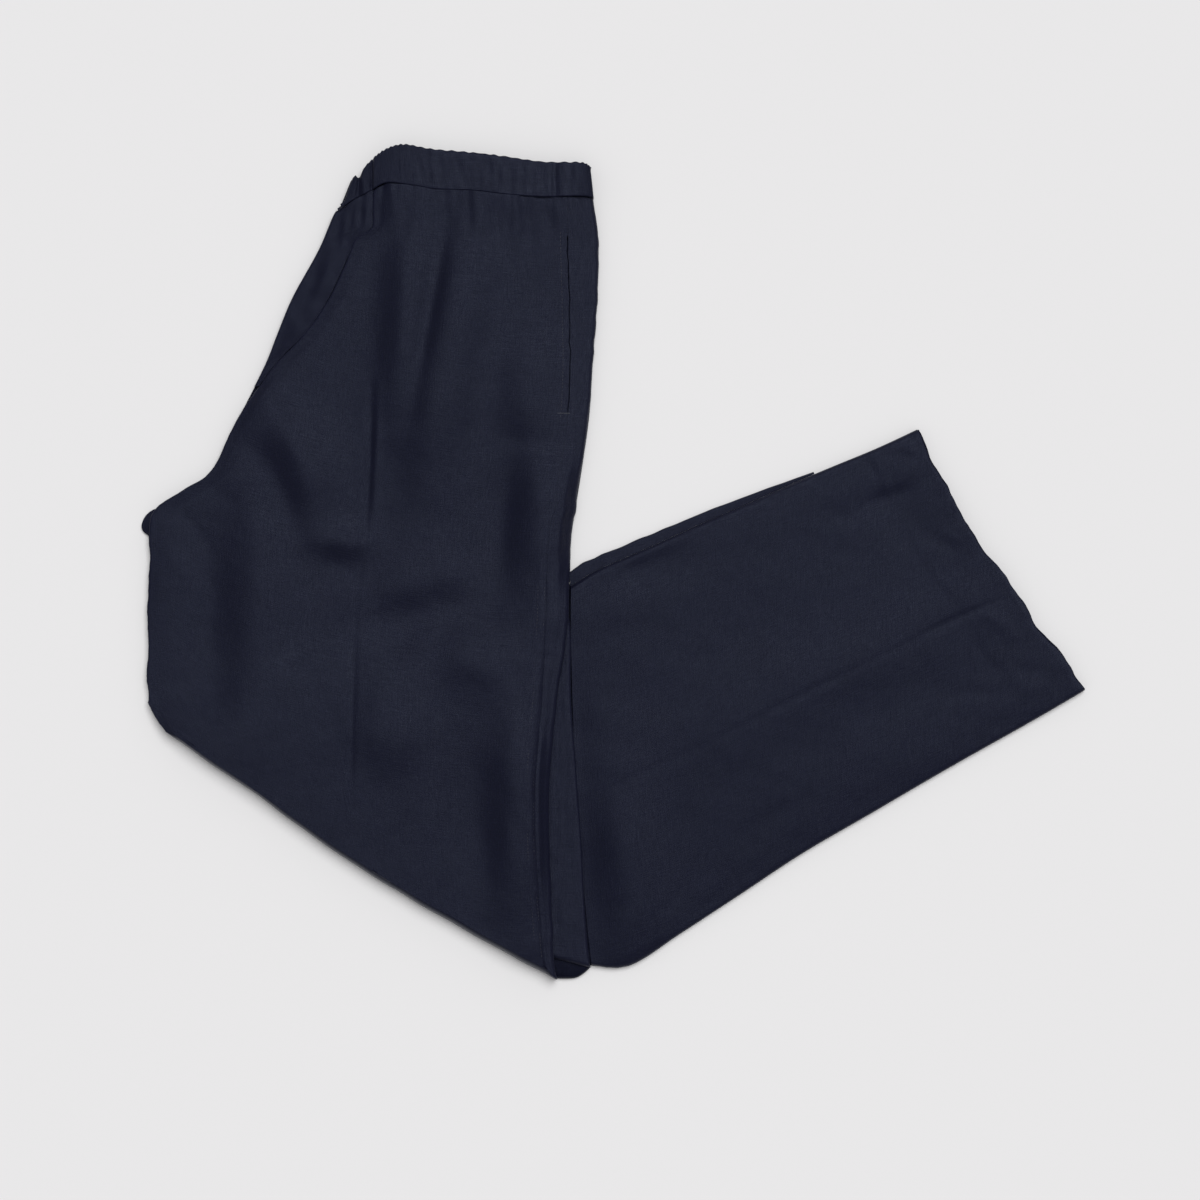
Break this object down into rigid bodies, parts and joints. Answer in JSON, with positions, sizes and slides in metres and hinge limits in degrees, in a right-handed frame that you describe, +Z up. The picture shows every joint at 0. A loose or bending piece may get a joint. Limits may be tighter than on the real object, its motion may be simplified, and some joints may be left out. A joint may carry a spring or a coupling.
{
  "type": "straight-leg trousers",
  "caption": "Straight-leg trousers with an elastic waist and a side pocket, folded leg on leg and then under at the knee, lying flat.",
  "frame": {"origin": "middle of the folded garment's outline, on the surface that it lies on", "axes": "+X to the right of the folded pair, towards the hems; +Y towards the waistband; +Z up from the surface"},
  "size_m": [0.6793, 0.6024, 0.0168],
  "materials": {
    "cloth": "dark navy plain weave with a soft, slightly slubbed surface and a low sheen",
    "waistband": "the same dark navy cloth, gathered over elastic"
  },
  "bodies": {
    "root": {"hidden_layers": "cloth", "front_left": "cloth", "back_left": "cloth", "pocket_facing": "cloth", "front_right_hip": "cloth", "front_right_shin": "cloth", "back_left_shin": "cloth", "back_right_knee": "cloth", "back_right_crotch": "cloth", "waistband": "waistband"}
  },
  "joints": []
}
